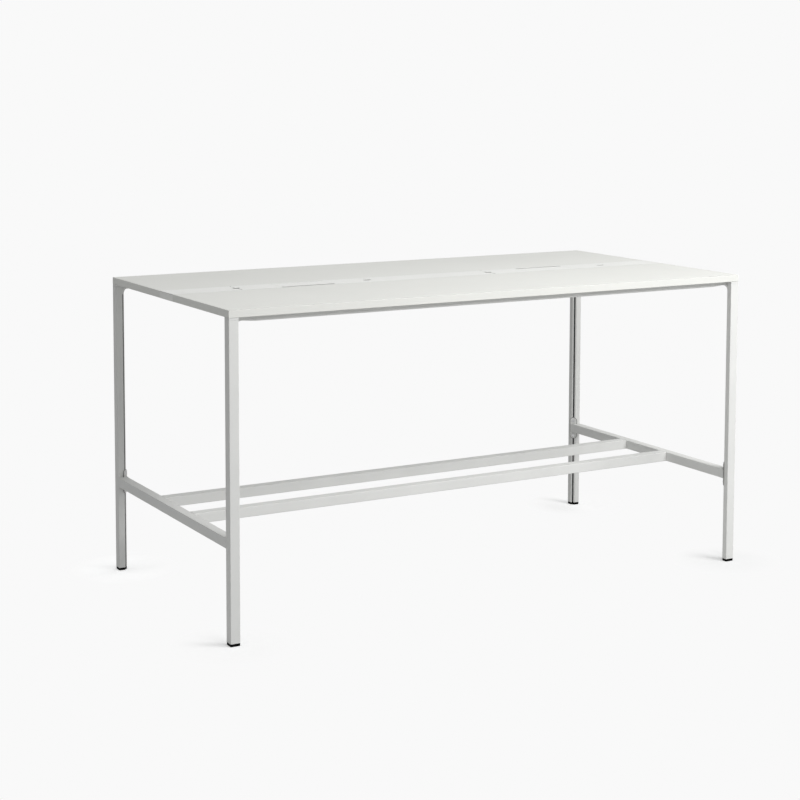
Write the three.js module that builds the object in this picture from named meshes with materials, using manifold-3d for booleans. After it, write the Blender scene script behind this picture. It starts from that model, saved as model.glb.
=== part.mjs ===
// Standing meeting table: a two-panel top with a lidded cable strip, on four grooved legs
// joined by long rails at the top and by crossbars and two footrest bars low down.
// Millimetres, +Z up, origin on the floor under the middle of the top, +X along the length.

import * as THREE from 'three';
import { mergeVertices } from 'three/addons/utils/BufferGeometryUtils.js';
import Module from 'manifold-3d';

const wasm = await Module();
wasm.setup();

// Whole table
const TOP_LENGTH = 2000;
const TOP_WIDTH = 1000;
const TABLE_HEIGHT = 1050;
const PANEL_THICKNESS = 24;
const FIT = 0.3;

// Legs: a square extrusion, chamfered on the inner corner, with a groove along the chamfer
const LEG = 33;
const LEG_CHAMFER = 12;
const LEG_WALL = 2.5;
const GROOVE_MOUTH = 6;
const GROOVE_LIP = 2.5;
const GROOVE_POCKET = 11;
const GROOVE_DEPTH = 7;
const GROOVE_FLOOR = 2;

// Feet: moulded caps with a plug in the leg's hollow
const FOOT_HEIGHT = 9;
const FOOT_EDGE = 1.6;
const FOOT_PLUG = 28;

// Corner castings and long rails under the top
const CAP_HEIGHT = 8;
const CAP_PLUG = 36;
const RAIL_RECESS = 22;
const RAIL_WIDTH = 30;
const RAIL_HEIGHT = 17;
const TUBE_WALL = 2;
const ARM_REACH = 68;
const ARM_RISE = 4;
const ARM_FILLET = 22;
const TONGUE = 32;

// Cross-beams between the rails, either side of each flap
const BEAM_WIDTH = 30;
const BEAM_OFFSET = 175;

// Cable strip along the middle of the top
const STRIP_WIDTH = 112;
const PROFILE_WEB = 2;
const LEDGE_WIDTH = 5;
const LEDGE_THICKNESS = 2;
const LID_THICKNESS = 12;
const LID_WALL = 1.5;
const LID_LENGTH = TOP_LENGTH / 4;
const LID_BORDER = 4.4;
const END_BLOCK = 12;
const WIDE_JOINT = 4;
const CLOSE_JOINT = 0.6;
const NOTCH_LENGTH = 30;
const NOTCH_WIDTH = 22;

// Flaps and their hinge pins
const FLAP_LENGTH = 200;
const FLAP_THICKNESS = 6;
const FLAP_SIDE_GAP = 0.5;
const FLAP_REAR_GAP = 1;
const FLAP_SLOT = 12;
const FLAP_SHOULDER = 3.5;
const FLAP_LIP = 0.6;
const PIN_RADIUS = 1.5;
const PIN_RUN = 0.06;
const PIN_TAIL = 9;
const HINGE_CARRIER = 16;
const ROUND_STEPS = 24;

// Cable trays under the cross-beams
const TRAY_WIDTH = 96;
const TRAY_DEPTH = 42;
const TRAY_WALL = 1.5;
const TRAY_FLANGE = 15;
const TRAY_OVERHANG = 90;

// Crossbars, footrest bars and their bracket plates
const BAR_HEIGHT = 34;
const BAR_TOP = 337.5;
const FOOTREST_WIDTH = 40;
const FOOTREST_SPACING = 250;
const PLATE_WIDTH = 29;
const PLATE_HEIGHT = 88;
const PLATE_THICKNESS = 2;
const PLATE_EDGE = 2;
const WEDGE_LENGTH = 24;
const WEDGE_SINK = 1;
const SCREW_RADIUS = 2.5;
const SCREW_HEAD_RADIUS = 5;
const SCREW_HEAD_HEIGHT = 1.8;
const SCREW_SOCKET_RADIUS = 1.7;
const SCREW_SOCKET_DEPTH = 1;
const NUT_WIDTH = 10;
const NUT_THICKNESS = 3.4;
const NUT_LENGTH = 84;

// Levels and positions that follow from the sizes above
const HALF_LENGTH = TOP_LENGTH / 2;
const HALF_WIDTH = TOP_WIDTH / 2;
const PANEL_BOTTOM = TABLE_HEIGHT - PANEL_THICKNESS;
const FRAME_TOP = PANEL_BOTTOM - FIT;
const RAIL_BOTTOM = FRAME_TOP - RAIL_HEIGHT;
const LEG_TOP = FRAME_TOP - CAP_HEIGHT - FIT;
const ARM_END = LEG + ARM_REACH;
const CHAMFER_SUM = 2 * LEG - LEG_CHAMFER;
const CHAMFER_DEPTH = CHAMFER_SUM / Math.SQRT2;
const POCKET_TOP = CHAMFER_DEPTH - GROOVE_LIP;
const POCKET_BOTTOM = POCKET_TOP - GROOVE_DEPTH;
const HOLLOW_SUM = (POCKET_BOTTOM - GROOVE_FLOOR) * Math.SQRT2;
const RAIL_INNER = HALF_WIDTH - RAIL_RECESS - RAIL_WIDTH;
const PROFILE_OUTER = STRIP_WIDTH / 2 - FIT;
const PROFILE_INNER = PROFILE_OUTER - PROFILE_WEB;
const LID_HALF = PROFILE_INNER - FIT;
const LID_BOTTOM = TABLE_HEIGHT - LID_THICKNESS;
const LEDGE_TOP = LID_BOTTOM - FIT;
const LEDGE_INNER = PROFILE_INNER - LEDGE_WIDTH;
const FLAP_CENTRE = LID_LENGTH;
const JOINT_INNER = LID_LENGTH / 2;
const JOINT_OUTER = JOINT_INNER + LID_LENGTH;
const WINDOW_HALF = LID_HALF - LID_BORDER;
const FLAP_RADIUS = FLAP_THICKNESS / 2;
const HINGE_Y = WINDOW_HALF - FLAP_REAR_GAP - FLAP_RADIUS;
const HINGE_Z = TABLE_HEIGHT - FLAP_RADIUS;
const FLAP_FREE_EDGE = WINDOW_HALF - FLAP_SLOT;
const BORE_RADIUS = PIN_RADIUS + PIN_RUN;
const TRAY_TOP = RAIL_BOTTOM - FIT;
const BAR_CENTRE = BAR_TOP - BAR_HEIGHT / 2;
const BAR_REACH = HALF_WIDTH - LEG - FIT;
const FOOTREST_REACH = HALF_LENGTH - LEG - FIT;
const SCREW_OFFSET = (PLATE_HEIGHT - PLATE_WIDTH) / 2;
const PLATE_FACE = FIT + PLATE_THICKNESS;

// Finishes
const finish = (colour, roughness, metalness) => ({ color: colour, roughness, metalness });
const LAMINATE = finish(0xdfe0db, 0.45, 0.0);
const LID_COAT = finish(0xe4e5e1, 0.4, 0.1);
const FRAME_COAT = finish(0xd9dad6, 0.42, 0.15);
const CAST_COAT = finish(0xd6d7d3, 0.5, 0.15);
const EDGE_METAL = finish(0xd0d2d2, 0.3, 0.9);
const PLAIN_STEEL = finish(0xb5b7b8, 0.35, 0.95);
const TRAY_COAT = finish(0xc9cbc9, 0.5, 0.2);
const FOOT_BLACK = finish(0x141414, 0.6, 0.0);

const table = new THREE.Group();
table.name = 'standing_meeting_table';

function addPiece(parent, name, geometry, look) {
  const mesh = new THREE.Mesh(geometry, new THREE.MeshStandardMaterial(look));
  mesh.name = name;
  parent.add(mesh);
  return mesh;
}

// Outlines are lists of [a, b] points; an extrusion carries one along the third direction.
function toShape(points, holes = []) {
  const shape = new THREE.Shape(points.map((p) => new THREE.Vector2(p[0], p[1])));
  for (const hole of holes) {
    shape.holes.push(new THREE.Path(hole.map((p) => new THREE.Vector2(p[0], p[1]))));
  }
  return shape;
}

function alongZ(points, z0, z1, holes = []) {
  const settings = { depth: z1 - z0, bevelEnabled: false };
  return new THREE.ExtrudeGeometry(toShape(points, holes), settings).translate(0, 0, z0);
}

function alongX(points, x0, x1, holes = []) {
  const turn = new THREE.Matrix4().makeBasis(
    new THREE.Vector3(0, 1, 0),
    new THREE.Vector3(0, 0, 1),
    new THREE.Vector3(1, 0, 0),
  );
  return alongZ(points, x0, x1, holes).applyMatrix4(turn);
}

function alongY(points, y0, y1, holes = []) {
  const turn = new THREE.Matrix4().makeBasis(
    new THREE.Vector3(1, 0, 0),
    new THREE.Vector3(0, 0, 1),
    new THREE.Vector3(0, -1, 0),
  );
  return alongZ(points, -y1, -y0, holes).applyMatrix4(turn);
}

function arcPoints(a, b, radius, from, to, steps) {
  const points = [];
  for (let i = 0; i <= steps; i += 1) {
    const angle = from + ((to - from) * i) / steps;
    points.push([a + radius * Math.cos(angle), b + radius * Math.sin(angle)]);
  }
  return points;
}

function rectangle(halfA, halfB) {
  return [
    [-halfA, -halfB],
    [halfA, -halfB],
    [halfA, halfB],
    [-halfA, halfB],
  ];
}

function circle(a, b, radius) {
  return arcPoints(a, b, radius, 0, 2 * Math.PI * (1 - 1 / ROUND_STEPS), ROUND_STEPS - 1);
}

// Solids for cutting and joining
function toSolid(geometry) {
  const bare = geometry.clone();
  bare.deleteAttribute('normal');
  bare.deleteAttribute('uv');
  const merged = mergeVertices(bare, 1e-4);
  return new wasm.Manifold(new wasm.Mesh({
    numProp: 3,
    vertProperties: Float32Array.from(merged.attributes.position.array),
    triVerts: Uint32Array.from(merged.index.array),
  }));
}

function toGeometry(solid) {
  const mesh = solid.getMesh();
  const geometry = new THREE.BufferGeometry();
  const points = Float32Array.from(mesh.vertProperties);
  geometry.setAttribute('position', new THREE.BufferAttribute(points, 3));
  geometry.setIndex(new THREE.BufferAttribute(Uint32Array.from(mesh.triVerts), 1));
  geometry.computeVertexNormals();
  return geometry;
}

function joined(...geometries) {
  return toGeometry(geometries.map(toSolid).reduce((all, next) => all.add(next)));
}

function cut(geometry, ...tools) {
  return toGeometry(tools.map(toSolid).reduce((left, tool) => left.subtract(tool), toSolid(geometry)));
}

function block(x0, x1, y0, y1, z0, z1) {
  const box = new THREE.BoxGeometry(x1 - x0, y1 - y0, z1 - z0);
  return box.translate((x0 + x1) / 2, (y0 + y1) / 2, (z0 + z1) / 2);
}

// Reflection across the leg's diagonal, with the faces turned back out
function swapped(geometry) {
  const flip = new THREE.Matrix4().set(0, 1, 0, 0, 1, 0, 0, 0, 0, 0, 1, 0, 0, 0, 0, 1);
  const plain = toGeometry(toSolid(geometry));
  const index = Array.from(plain.index.array);
  const turned = [];
  for (let i = 0; i < index.length; i += 3) {
    turned.push(index[i], index[i + 2], index[i + 1]);
  }
  const copy = new THREE.BufferGeometry();
  copy.setAttribute('position', plain.attributes.position.clone().applyMatrix4(flip));
  copy.setIndex(turned);
  copy.computeVertexNormals();
  return copy;
}

// Corner frames: the leg's outer corner is the local origin and +X, +Y point into the table.
// On the first and third corners the long rail runs along local X, on the others along local Y.
const CORNERS = [
  { name: 'front_left', x: -1, y: -1, turn: 0, railAlongX: true },
  { name: 'front_right', x: 1, y: -1, turn: 1, railAlongX: false },
  { name: 'rear_right', x: 1, y: 1, turn: 2, railAlongX: true },
  { name: 'rear_left', x: -1, y: 1, turn: 3, railAlongX: false },
];

function legOutline(grow) {
  const far = LEG + grow;
  const sum = CHAMFER_SUM + grow * Math.SQRT2;
  return [
    [-grow, -grow],
    [far, -grow],
    [far, sum - far],
    [sum - far, far],
    [-grow, far],
  ];
}

function hollowOutline(inset) {
  const near = LEG_WALL + inset;
  const far = LEG - near;
  const sum = HOLLOW_SUM - inset * Math.SQRT2;
  return [
    [near, near],
    [far, near],
    [far, sum - far],
    [sum - far, far],
    [near, far],
  ];
}

function legSection() {
  const on = (along, across) => [(along + across) / Math.SQRT2, (along - across) / Math.SQRT2];
  const mouth = GROOVE_MOUTH / 2;
  const pocket = GROOVE_POCKET / 2;
  return [
    [0, 0],
    [LEG, 0],
    [LEG, LEG - LEG_CHAMFER],
    on(CHAMFER_DEPTH, mouth),
    on(POCKET_TOP, mouth),
    on(POCKET_TOP, pocket),
    on(POCKET_BOTTOM, pocket),
    on(POCKET_BOTTOM, -pocket),
    on(POCKET_TOP, -pocket),
    on(POCKET_TOP, -mouth),
    on(CHAMFER_DEPTH, -mouth),
    [LEG - LEG_CHAMFER, LEG],
    [0, LEG],
  ];
}

function footGeometry() {
  const sole = alongZ(legOutline(-FOOT_EDGE), 0, FOOT_HEIGHT - FIT);
  const pad = alongZ(legOutline(-FIT), FOOT_EDGE, FOOT_HEIGHT - FIT);
  const plug = alongZ(hollowOutline(FIT), FOOT_EDGE, FOOT_HEIGHT + FOOT_PLUG);
  return joined(sole, pad, plug);
}

// Casting: a cap on the leg, a plug in its hollow, an arm along the rail line, a fillet that follows the
// leg's chamfer under the arm, and a tongue in the rail
function castingGeometry() {
  const low = RAIL_BOTTOM + ARM_RISE;
  const inner = RAIL_RECESS + RAIL_WIDTH;
  const filletX = LEG + ARM_FILLET;
  const filletZ = low - ARM_FILLET;
  const fillet = [
    ...arcPoints(filletX, filletZ, ARM_FILLET, Math.PI / 2, Math.PI, 10),
    [RAIL_RECESS, filletZ],
    [RAIL_RECESS, low + FIT],
    [filletX, low + FIT],
  ];
  const follow = new THREE.Matrix4().makeShear(0, 0, -1, 0, 0, 0);
  const corner = alongY(fillet, RAIL_RECESS, LEG).translate(LEG - LEG_CHAMFER, 0, 0).applyMatrix4(follow);
  const web = [
    [RAIL_RECESS, FRAME_TOP],
    [ARM_END, FRAME_TOP],
    [ARM_END, RAIL_BOTTOM],
    [filletX, low],
    [RAIL_RECESS, low],
  ];
  const arm = [
    [LEG - FIT, FRAME_TOP],
    [ARM_END, FRAME_TOP],
    [ARM_END, RAIL_BOTTOM],
    [filletX, low],
    [LEG - FIT, low],
  ];
  const gap = TUBE_WALL + FIT;
  const tongue = block(
    ARM_END - TUBE_WALL,
    ARM_END + TONGUE,
    RAIL_RECESS + gap,
    inner - gap,
    RAIL_BOTTOM + gap,
    FRAME_TOP - gap,
  );
  const ribs = joined(
    corner,
    alongY(web, RAIL_RECESS, LEG),
    alongY(arm, LEG - FIT, inner),
    tongue,
  );
  const clear = cut(ribs, alongZ(legOutline(FIT), filletZ - FIT, FRAME_TOP - CAP_HEIGHT));
  const cap = alongZ(legOutline(0), FRAME_TOP - CAP_HEIGHT, FRAME_TOP);
  const plug = alongZ(hollowOutline(FIT), LEG_TOP - CAP_PLUG, FRAME_TOP - CAP_HEIGHT / 2);
  return joined(clear, cap, plug);
}

function plateOutline(halfWidth, halfHeight) {
  const rise = halfHeight - halfWidth;
  return [
    ...arcPoints(0, rise, halfWidth, 0, Math.PI, 14),
    ...arcPoints(0, -rise, halfWidth, Math.PI, 2 * Math.PI, 14),
  ];
}

// Bracket plate in its own turned frame: the leg's chamfer is the plane y = 0, +Y faces the room
function plateGeometry(side) {
  const holes = [1, -1].map((end) => circle(0, end * SCREW_OFFSET, SCREW_RADIUS + FIT));
  const full = alongY(plateOutline(PLATE_WIDTH / 2, PLATE_HEIGHT / 2), FIT, PLATE_FACE, holes);
  const toPlate = (u, v) => [(side * (u - v)) / Math.SQRT2, (u + v) / Math.SQRT2 - CHAMFER_DEPTH];
  const barFace = LEG + FIT;
  const faceSum = (PLATE_FACE - WEDGE_SINK + CHAMFER_DEPTH) * Math.SQRT2;
  const reach = faceSum - barFace;
  const outer = PLATE_WIDTH / 2 - PLATE_EDGE;
  const wedge = [
    [side * outer, PLATE_FACE - WEDGE_SINK],
    toPlate(barFace, reach),
    toPlate(barFace, reach + WEDGE_LENGTH),
  ];
  const half = BAR_HEIGHT / 2 - PLATE_EDGE / 2;
  return joined(full, alongZ(wedge, -half, half));
}

function screwGeometry() {
  const tip = -(GROOVE_LIP + GROOVE_DEPTH) + FIT;
  const seat = PLATE_FACE + FIT;
  const profile = [
    [0, tip],
    [SCREW_RADIUS, tip],
    [SCREW_RADIUS, seat],
    [SCREW_HEAD_RADIUS, seat],
    [SCREW_HEAD_RADIUS, seat + SCREW_HEAD_HEIGHT / 3],
    [SCREW_HEAD_RADIUS * 0.85, seat + SCREW_HEAD_HEIGHT * 0.75],
    [SCREW_HEAD_RADIUS * 0.55, seat + SCREW_HEAD_HEIGHT],
    [0, seat + SCREW_HEAD_HEIGHT],
  ];
  const body = new THREE.LatheGeometry(profile.map((p) => new THREE.Vector2(p[0], p[1])), 20);
  const socket = new THREE.CylinderGeometry(
    SCREW_SOCKET_RADIUS,
    SCREW_SOCKET_RADIUS,
    2 * SCREW_SOCKET_DEPTH,
    6,
  );
  return cut(body, socket.translate(0, seat + SCREW_HEAD_HEIGHT, 0));
}

function nutGeometry() {
  const top = -GROOVE_LIP - FIT;
  const holes = [1, -1].map((end) => circle(0, end * SCREW_OFFSET, SCREW_RADIUS + FIT));
  return alongY(rectangle(NUT_WIDTH / 2, NUT_LENGTH / 2), top - NUT_THICKNESS, top, holes);
}

for (const corner of CORNERS) {
  const stand = new THREE.Group();
  stand.name = `corner_${corner.name}`;
  stand.position.set(corner.x * HALF_LENGTH, corner.y * HALF_WIDTH, 0);
  stand.rotation.z = (corner.turn * Math.PI) / 2;
  table.add(stand);

  addPiece(stand, `foot_${corner.name}`, footGeometry(), FOOT_BLACK);
  const leg = alongZ(legSection(), FOOT_HEIGHT, LEG_TOP, [hollowOutline(0)]);
  addPiece(stand, `leg_${corner.name}`, leg, FRAME_COAT);
  const casting = castingGeometry();
  addPiece(stand, `casting_${corner.name}`, corner.railAlongX ? casting : swapped(casting), CAST_COAT);

  const bracket = new THREE.Group();
  bracket.name = `bracket_${corner.name}`;
  bracket.position.set(CHAMFER_SUM / 2, CHAMFER_SUM / 2, BAR_CENTRE);
  bracket.rotation.z = -Math.PI / 4;
  stand.add(bracket);
  const plate = plateGeometry(corner.railAlongX ? 1 : -1);
  addPiece(bracket, `bracket_plate_${corner.name}`, plate, FRAME_COAT);
  addPiece(bracket, `nut_plate_${corner.name}`, nutGeometry(), PLAIN_STEEL);
  const upper = addPiece(bracket, `screw_upper_${corner.name}`, screwGeometry(), PLAIN_STEEL);
  upper.position.z = SCREW_OFFSET;
  const lower = addPiece(bracket, `screw_lower_${corner.name}`, screwGeometry(), PLAIN_STEEL);
  lower.position.z = -SCREW_OFFSET;
}

// Long rails, hollow, with a casting's tongue in each end
const railReach = HALF_LENGTH - ARM_END - FIT;
const railOutline = rectangle(RAIL_WIDTH / 2, RAIL_HEIGHT / 2);
const railHollow = rectangle(RAIL_WIDTH / 2 - TUBE_WALL, RAIL_HEIGHT / 2 - TUBE_WALL);
for (const [name, side] of [['front', -1], ['rear', 1]]) {
  const tube = alongX(railOutline, -railReach, railReach, [railHollow]);
  const rail = addPiece(table, `rail_${name}`, tube, FRAME_COAT);
  rail.position.set(0, side * (RAIL_INNER + RAIL_WIDTH / 2), (RAIL_BOTTOM + FRAME_TOP) / 2);
}

// Cross-beams from rail to rail
const beamReach = RAIL_INNER - FIT;
const beamOutline = rectangle(BEAM_WIDTH / 2, RAIL_HEIGHT / 2);
const beamHollow = rectangle(BEAM_WIDTH / 2 - TUBE_WALL, RAIL_HEIGHT / 2 - TUBE_WALL);
const BEAMS = [
  ['left_outer', -FLAP_CENTRE - BEAM_OFFSET],
  ['left_inner', -FLAP_CENTRE + BEAM_OFFSET],
  ['right_inner', FLAP_CENTRE - BEAM_OFFSET],
  ['right_outer', FLAP_CENTRE + BEAM_OFFSET],
];
for (const [name, x] of BEAMS) {
  const tube = alongY(beamOutline, -beamReach, beamReach, [beamHollow]);
  const beam = addPiece(table, `beam_${name}`, tube, FRAME_COAT);
  beam.position.set(x, 0, (RAIL_BOTTOM + FRAME_TOP) / 2);
}

// Top panels and the edge profiles of the cable strip
const panelWidth = HALF_WIDTH - STRIP_WIDTH / 2;
const profileReach = HALF_LENGTH - END_BLOCK - FIT;
const profileOutline = [
  [PROFILE_OUTER, PANEL_BOTTOM],
  [PROFILE_OUTER, TABLE_HEIGHT],
  [PROFILE_INNER, TABLE_HEIGHT],
  [PROFILE_INNER, LEDGE_TOP],
  [LEDGE_INNER, LEDGE_TOP],
  [LEDGE_INNER, LEDGE_TOP - LEDGE_THICKNESS],
  [PROFILE_INNER, LEDGE_TOP - LEDGE_THICKNESS],
  [PROFILE_INNER, PANEL_BOTTOM],
];
for (const [name, side] of [['front', -1], ['rear', 1]]) {
  const board = new THREE.BoxGeometry(TOP_LENGTH, panelWidth, PANEL_THICKNESS);
  const panel = addPiece(table, `panel_${name}`, board, LAMINATE);
  panel.position.set(0, side * (HALF_WIDTH - panelWidth / 2), TABLE_HEIGHT - PANEL_THICKNESS / 2);

  const outline = profileOutline.map((p) => [side * p[0], p[1]]);
  const profile = alongX(outline, -profileReach, profileReach);
  addPiece(table, `edge_profile_${name}`, profile, EDGE_METAL);
}

// Lids: channel extrusions, open below. Joints one and three are wide, two and four are close;
// a notch for cables spans each joint.
const JOINTS = [
  { at: -JOINT_OUTER, gap: WIDE_JOINT },
  { at: -JOINT_INNER, gap: CLOSE_JOINT },
  { at: JOINT_INNER, gap: WIDE_JOINT },
  { at: JOINT_OUTER, gap: CLOSE_JOINT },
];

function notchTool(x) {
  const radius = NOTCH_WIDTH / 2;
  const run = NOTCH_LENGTH / 2 - radius;
  const outline = [
    ...arcPoints(x + run, 0, radius, -Math.PI / 2, Math.PI / 2, 10),
    ...arcPoints(x - run, 0, radius, Math.PI / 2, (3 * Math.PI) / 2, 10),
  ];
  return alongZ(outline, PANEL_BOTTOM, TABLE_HEIGHT + FIT);
}

function lidBlank(x0, x1) {
  return block(x0, x1, -LID_HALF, LID_HALF, LID_BOTTOM, TABLE_HEIGHT);
}

function lidHollow(x0, x1) {
  const half = LID_HALF - LID_WALL;
  return block(x0, x1, -half, half, LID_BOTTOM - FIT, TABLE_HEIGHT - LID_WALL);
}

const leftEnd = lidBlank(-HALF_LENGTH, JOINTS[0].at - JOINTS[0].gap / 2);
const leftBlock = block(
  -HALF_LENGTH,
  -HALF_LENGTH + END_BLOCK,
  -PROFILE_OUTER,
  PROFILE_OUTER,
  PANEL_BOTTOM,
  TABLE_HEIGHT,
);
const leftHollow = lidHollow(-HALF_LENGTH + END_BLOCK, JOINTS[0].at);
const leftLid = cut(joined(leftEnd, leftBlock), leftHollow, notchTool(JOINTS[0].at));
addPiece(table, 'lid_end_left', leftLid, LID_COAT);

const rightEnd = lidBlank(JOINTS[3].at + JOINTS[3].gap / 2, HALF_LENGTH);
const rightBlock = block(
  HALF_LENGTH - END_BLOCK,
  HALF_LENGTH,
  -PROFILE_OUTER,
  PROFILE_OUTER,
  PANEL_BOTTOM,
  TABLE_HEIGHT,
);
const rightHollow = lidHollow(JOINTS[3].at, HALF_LENGTH - END_BLOCK);
const rightLid = cut(joined(rightEnd, rightBlock), rightHollow, notchTool(JOINTS[3].at));
addPiece(table, 'lid_end_right', rightLid, LID_COAT);

const centre = lidBlank(JOINTS[1].at + JOINTS[1].gap / 2, JOINTS[2].at - JOINTS[2].gap / 2);
const centreHollow = lidHollow(JOINTS[1].at, JOINTS[2].at);
const centreLid = cut(centre, centreHollow, notchTool(JOINTS[1].at), notchTool(JOINTS[2].at));
addPiece(table, 'lid_centre', centreLid, LID_COAT);

// Flaps: rounded along the hinge, undercut along the free edge for the fingers
function flapOutline(side) {
  const undercut = FLAP_THICKNESS - FLAP_LIP;
  const outline = [
    ...arcPoints(HINGE_Y, HINGE_Z, FLAP_RADIUS, -Math.PI / 2, Math.PI / 2, 12),
    [-FLAP_FREE_EDGE, HINGE_Z + FLAP_RADIUS],
    [-FLAP_FREE_EDGE, HINGE_Z + FLAP_RADIUS - FLAP_LIP],
    [-FLAP_FREE_EDGE + undercut, HINGE_Z - FLAP_RADIUS],
  ];
  return outline.map((p) => [side * p[0], p[1]]);
}

// Flap lids: a window with shoulders at its ends, and a solid carrier past each end for the hinge pin
const pinReach = FLAP_LENGTH / 2 + PIN_TAIL;
const windowReach = FLAP_LENGTH / 2 + FLAP_SIDE_GAP;
const shoulderTop = TABLE_HEIGHT - FLAP_THICKNESS - FIT;
for (const [name, x, side, before, after] of [
  ['left', -FLAP_CENTRE, 1, JOINTS[0], JOINTS[1]],
  ['right', FLAP_CENTRE, -1, JOINTS[2], JOINTS[3]],
]) {
  const blank = lidBlank(before.at + before.gap / 2, after.at - after.gap / 2);
  const lowerReach = windowReach - FLAP_SHOULDER;
  const carrierEnd = windowReach + HINGE_CARRIER;
  const high = TABLE_HEIGHT + FIT;
  const deep = LID_BOTTOM - FIT;
  const upper = block(x - windowReach, x + windowReach, -WINDOW_HALF, WINDOW_HALF, shoulderTop, high);
  const lower = block(x - lowerReach, x + lowerReach, -WINDOW_HALF, WINDOW_HALF, deep, TABLE_HEIGHT);
  const hollows = [lidHollow(before.at, x - carrierEnd), lidHollow(x + carrierEnd, after.at)];
  const boreLine = circle(side * HINGE_Y, HINGE_Z, BORE_RADIUS);
  const bore = alongX(boreLine, x - pinReach - FIT, x + pinReach + FIT);
  const notches = [notchTool(before.at), notchTool(after.at)];
  const lid = cut(blank, upper, lower, bore, ...hollows, ...notches);
  addPiece(table, `lid_flap_${name}`, lid, LID_COAT);

  const flap = alongX(flapOutline(side), x - FLAP_LENGTH / 2, x + FLAP_LENGTH / 2, [boreLine]);
  addPiece(table, `flap_${name}`, flap, LID_COAT);
  const pin = alongX(circle(side * HINGE_Y, HINGE_Z, PIN_RADIUS), x - pinReach, x + pinReach);
  addPiece(table, `flap_pin_${name}`, pin, PLAIN_STEEL);
}

// Cable trays, hung by their flanges under the cross-beams
const trayHalf = TRAY_WIDTH / 2;
const trayInner = trayHalf - TRAY_WALL;
const trayFloor = TRAY_TOP - TRAY_DEPTH;
const trayReach = BEAM_OFFSET + TRAY_OVERHANG;
const trayOutline = [
  [-trayHalf, trayFloor],
  [trayHalf, trayFloor],
  [trayHalf, TRAY_TOP - TRAY_WALL],
  [trayHalf + TRAY_FLANGE, TRAY_TOP - TRAY_WALL],
  [trayHalf + TRAY_FLANGE, TRAY_TOP],
  [trayInner, TRAY_TOP],
  [trayInner, trayFloor + TRAY_WALL],
  [-trayInner, trayFloor + TRAY_WALL],
  [-trayInner, TRAY_TOP],
  [-trayHalf - TRAY_FLANGE, TRAY_TOP],
  [-trayHalf - TRAY_FLANGE, TRAY_TOP - TRAY_WALL],
  [-trayHalf, TRAY_TOP - TRAY_WALL],
];
for (const [name, x] of [['left', -FLAP_CENTRE], ['right', FLAP_CENTRE]]) {
  const tray = addPiece(table, `cable_tray_${name}`, alongX(trayOutline, -trayReach, trayReach), TRAY_COAT);
  tray.position.x = x;
}

// Crossbars between the legs of each end, let in around the bracket plates
const barOutline = rectangle(LEG / 2, BAR_HEIGHT / 2);
const barHollow = rectangle(LEG / 2 - TUBE_WALL, BAR_HEIGHT / 2 - TUBE_WALL);
const plateDepth = (CHAMFER_DEPTH + FIT + PLATE_THICKNESS / 2) / Math.SQRT2;
for (const [name, side] of [['left', -1], ['right', 1]]) {
  const x = side * (HALF_LENGTH - LEG / 2);
  const tools = [-1, 1].map((end) => {
    const slot = new THREE.BoxGeometry(PLATE_WIDTH + 2 * FIT, PLATE_THICKNESS + 2 * FIT, 2 * BAR_HEIGHT);
    slot.rotateZ((-side * end * Math.PI) / 4);
    return slot.translate(side * (HALF_LENGTH - plateDepth) - x, end * (HALF_WIDTH - plateDepth), 0);
  });
  const bar = alongY(barOutline, -BAR_REACH, BAR_REACH, [barHollow]);
  const crossbar = addPiece(table, `crossbar_${name}`, cut(bar, ...tools), FRAME_COAT);
  crossbar.position.set(x, 0, BAR_CENTRE);
}

// Footrest bars between the crossbars
const restOutline = rectangle(FOOTREST_WIDTH / 2, BAR_HEIGHT / 2);
const restHollow = rectangle(FOOTREST_WIDTH / 2 - TUBE_WALL, BAR_HEIGHT / 2 - TUBE_WALL);
for (const [name, side] of [['front', -1], ['rear', 1]]) {
  const tube = alongX(restOutline, -FOOTREST_REACH, FOOTREST_REACH, [restHollow]);
  const rest = addPiece(table, `footrest_${name}`, tube, FRAME_COAT);
  rest.position.set(0, (side * FOOTREST_SPACING) / 2, BAR_CENTRE);
}

export default table;
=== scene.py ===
"""Looks of the standing meeting table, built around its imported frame."""

import math

import bpy
import numpy as np
from mathutils import Matrix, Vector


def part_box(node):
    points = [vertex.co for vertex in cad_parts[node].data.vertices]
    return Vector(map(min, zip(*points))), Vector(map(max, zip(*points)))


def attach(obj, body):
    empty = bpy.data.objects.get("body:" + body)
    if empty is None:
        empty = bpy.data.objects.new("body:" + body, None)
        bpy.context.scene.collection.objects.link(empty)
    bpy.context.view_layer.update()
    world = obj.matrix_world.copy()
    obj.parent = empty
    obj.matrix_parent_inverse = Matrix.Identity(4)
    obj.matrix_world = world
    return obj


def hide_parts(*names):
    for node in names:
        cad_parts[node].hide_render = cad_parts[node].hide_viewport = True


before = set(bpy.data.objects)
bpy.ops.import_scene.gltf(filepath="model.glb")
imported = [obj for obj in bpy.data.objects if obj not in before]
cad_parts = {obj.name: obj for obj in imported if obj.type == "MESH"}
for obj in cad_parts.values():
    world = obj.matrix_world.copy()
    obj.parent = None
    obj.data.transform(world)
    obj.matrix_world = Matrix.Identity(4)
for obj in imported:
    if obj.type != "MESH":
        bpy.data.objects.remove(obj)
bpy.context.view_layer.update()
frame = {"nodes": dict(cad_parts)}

bl_info = {
    "name": "Standing Meeting Table",
    "version": (1, 0, 0),
    "blender": (4, 5, 0),
    "location": "View3D > Sidebar > Table",
    "description": "Dresses the frame of a standing meeting table with its finished pieces",
    "category": "Add Mesh",
}

MM = 0.001
CORNERS = ("front_left", "front_right", "rear_right", "rear_left")

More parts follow.
